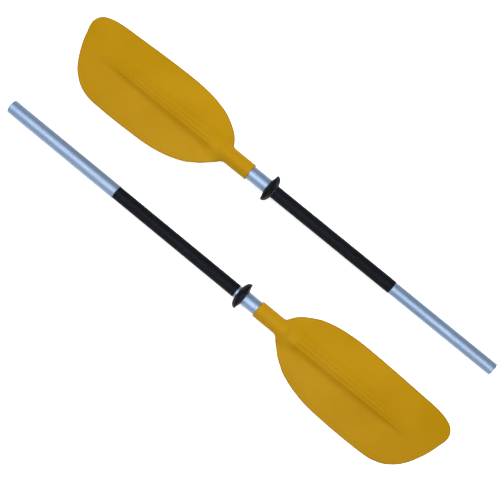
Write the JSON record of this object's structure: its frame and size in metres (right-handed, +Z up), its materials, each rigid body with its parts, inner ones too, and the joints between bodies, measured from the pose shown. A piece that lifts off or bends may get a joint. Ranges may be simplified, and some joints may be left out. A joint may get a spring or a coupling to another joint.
{
  "type": "two-piece kayak paddle",
  "caption": "Take-apart double-bladed paddle: two halves with asymmetric moulded blades, drip rings, ribbed grips and a plug-in shaft joint with a snap button and feather holes.",
  "frame": {"origin": "centre of the base of the two halves' box, on the surface they lie on", "axes": "+X along both shafts, towards the female half's blade; +Y from the female half's lane to the male half's; +Z up"},
  "size_m": [1.153, 0.3907, 0.0636],
  "materials": {
    "amber_plastic": "moulded, satin",
    "shaft_aluminium": "drawn and clear anodised",
    "grip_sleeve": "ribbed shrink sleeve",
    "ring_rubber": "soft moulded",
    "rivet_metal": "plain",
    "button_steel": "polished",
    "spring_steel": "plain",
    "float_foam": "closed-cell foam"
  },
  "bodies": {
    "male_half": {"left_blade": "amber_plastic", "left_neck_sleeve": "shaft_aluminium", "left_shaft_tube": "shaft_aluminium", "left_grip": "grip_sleeve", "left_blade_rivets": "rivet_metal", "left_float_plugs": "float_foam", "button_spring": "spring_steel"},
    "male_ring": {"left_drip_ring": "ring_rubber"},
    "button": {"snap_button": "button_steel"},
    "carried": {"float_plug_outer": "float_foam"},
    "lined_up": {"float_plug_inner": "float_foam"},
    "female_half": {"right_blade": "amber_plastic", "right_neck_sleeve": "shaft_aluminium", "right_shaft_tube": "shaft_aluminium", "right_grip": "grip_sleeve", "right_blade_rivets": "rivet_metal", "joint_sleeve": "shaft_aluminium", "sleeve_rivets": "rivet_metal"},
    "female_ring": {"right_drip_ring": "ring_rubber"}
  },
  "joints": [
    {"name": "male_ring_slide", "type": "slide", "parent": "male_half", "child": "male_ring", "axis": [-1, 0, 0], "range_m": [0, 0.008]},
    {"name": "button_press", "type": "slide", "parent": "male_half", "child": "button", "axis": [0, 0, 1], "range_m": [0, 0.0048], "stiffness_N_per_m": 1500, "springref_m": -0.001, "deforming": ["button_spring"]},
    {"name": "carry", "type": "slide", "parent": "male_half", "child": "carried", "axis": [0.9879, 0.1552, 0], "range_m": [0, 1.36556]},
    {"name": "plug_in", "type": "slide", "parent": "carried", "child": "lined_up", "axis": [-1, 0, 0], "range_m": [0, 0.35]},
    {"name": "feather", "type": "hinge", "parent": "lined_up", "child": "female_half", "pos_m": [0, -0.09975, 0.0315], "axis": [1, 0, 0], "range_deg": [-60, 60]},
    {"name": "female_ring_slide", "type": "slide", "parent": "female_half", "child": "female_ring", "axis": [1, 0, 0], "range_m": [-0.004, 0.004]}
  ]
}
